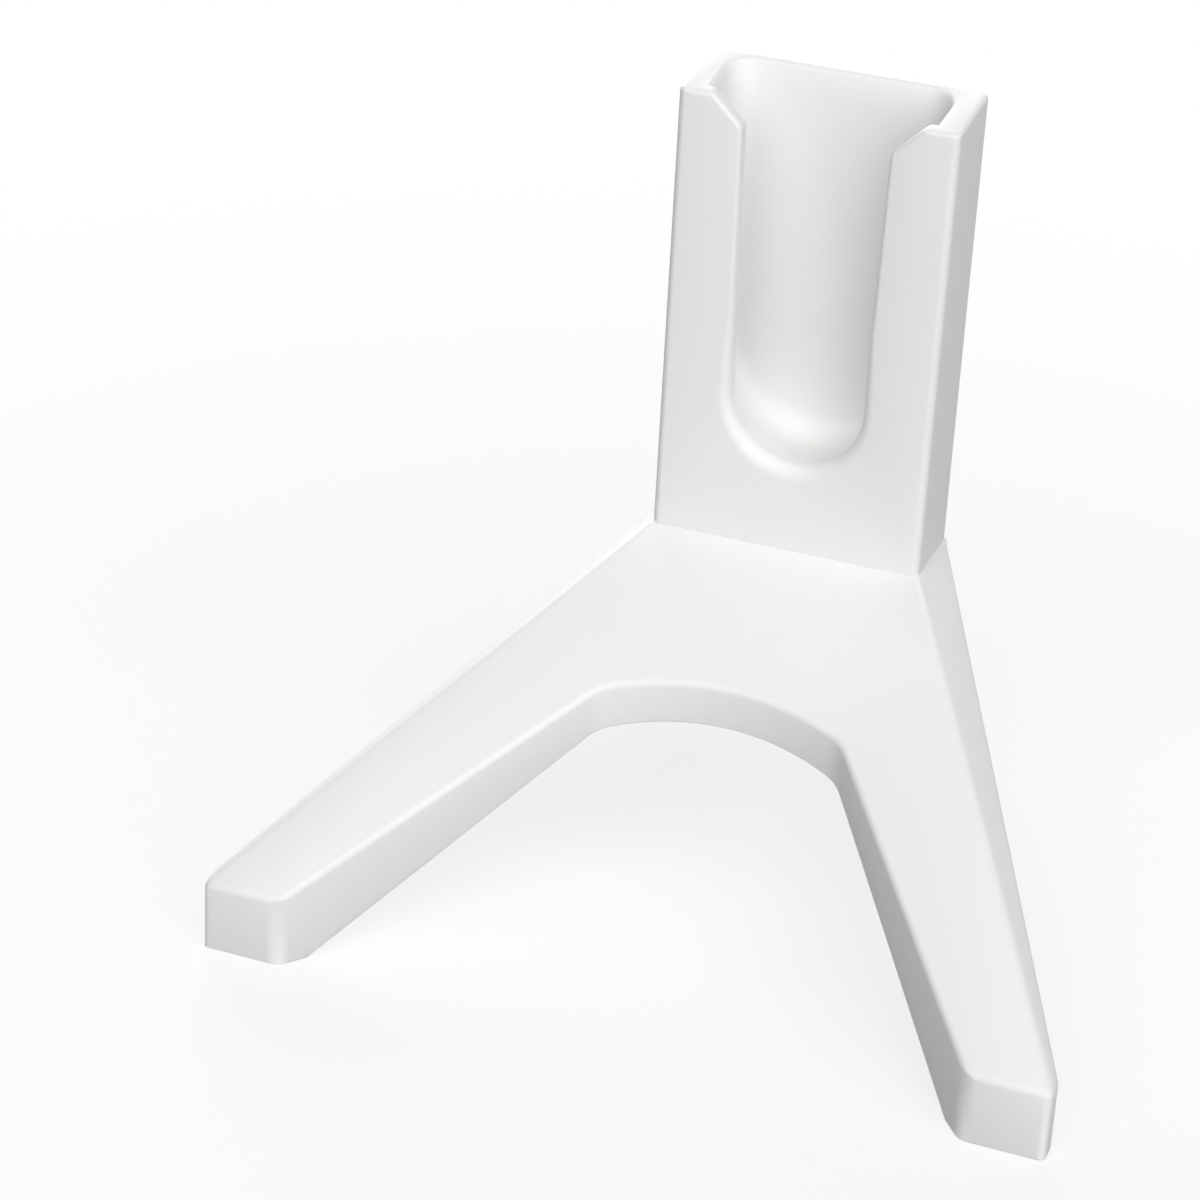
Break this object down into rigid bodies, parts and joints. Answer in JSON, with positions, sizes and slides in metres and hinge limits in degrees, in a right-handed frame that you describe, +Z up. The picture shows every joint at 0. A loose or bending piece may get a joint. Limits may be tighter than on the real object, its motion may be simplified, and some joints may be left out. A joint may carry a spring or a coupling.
{
  "type": "portable bike kickstand",
  "caption": "White plastic bike stand: an upright open-topped socket with a slotted front, on a base with two splayed front legs and a short rear leg.",
  "frame": {"origin": "on the floor, at the middle of the object's box seen from above", "axes": "+Z up, -Y towards the front legs and the slotted side of the socket, +X to the right seen from the front"},
  "size_m": [0.151, 0.1404, 0.1424],
  "materials": {
    "white_plastic": "white moulded plastic with a satin surface",
    "screw_steel": "plain zinc-coated steel"
  },
  "bodies": {
    "root": {"upright_socket": "white_plastic", "tripod_base": "white_plastic", "base_screw_left": "screw_steel", "base_screw_right": "screw_steel"}
  },
  "joints": []
}
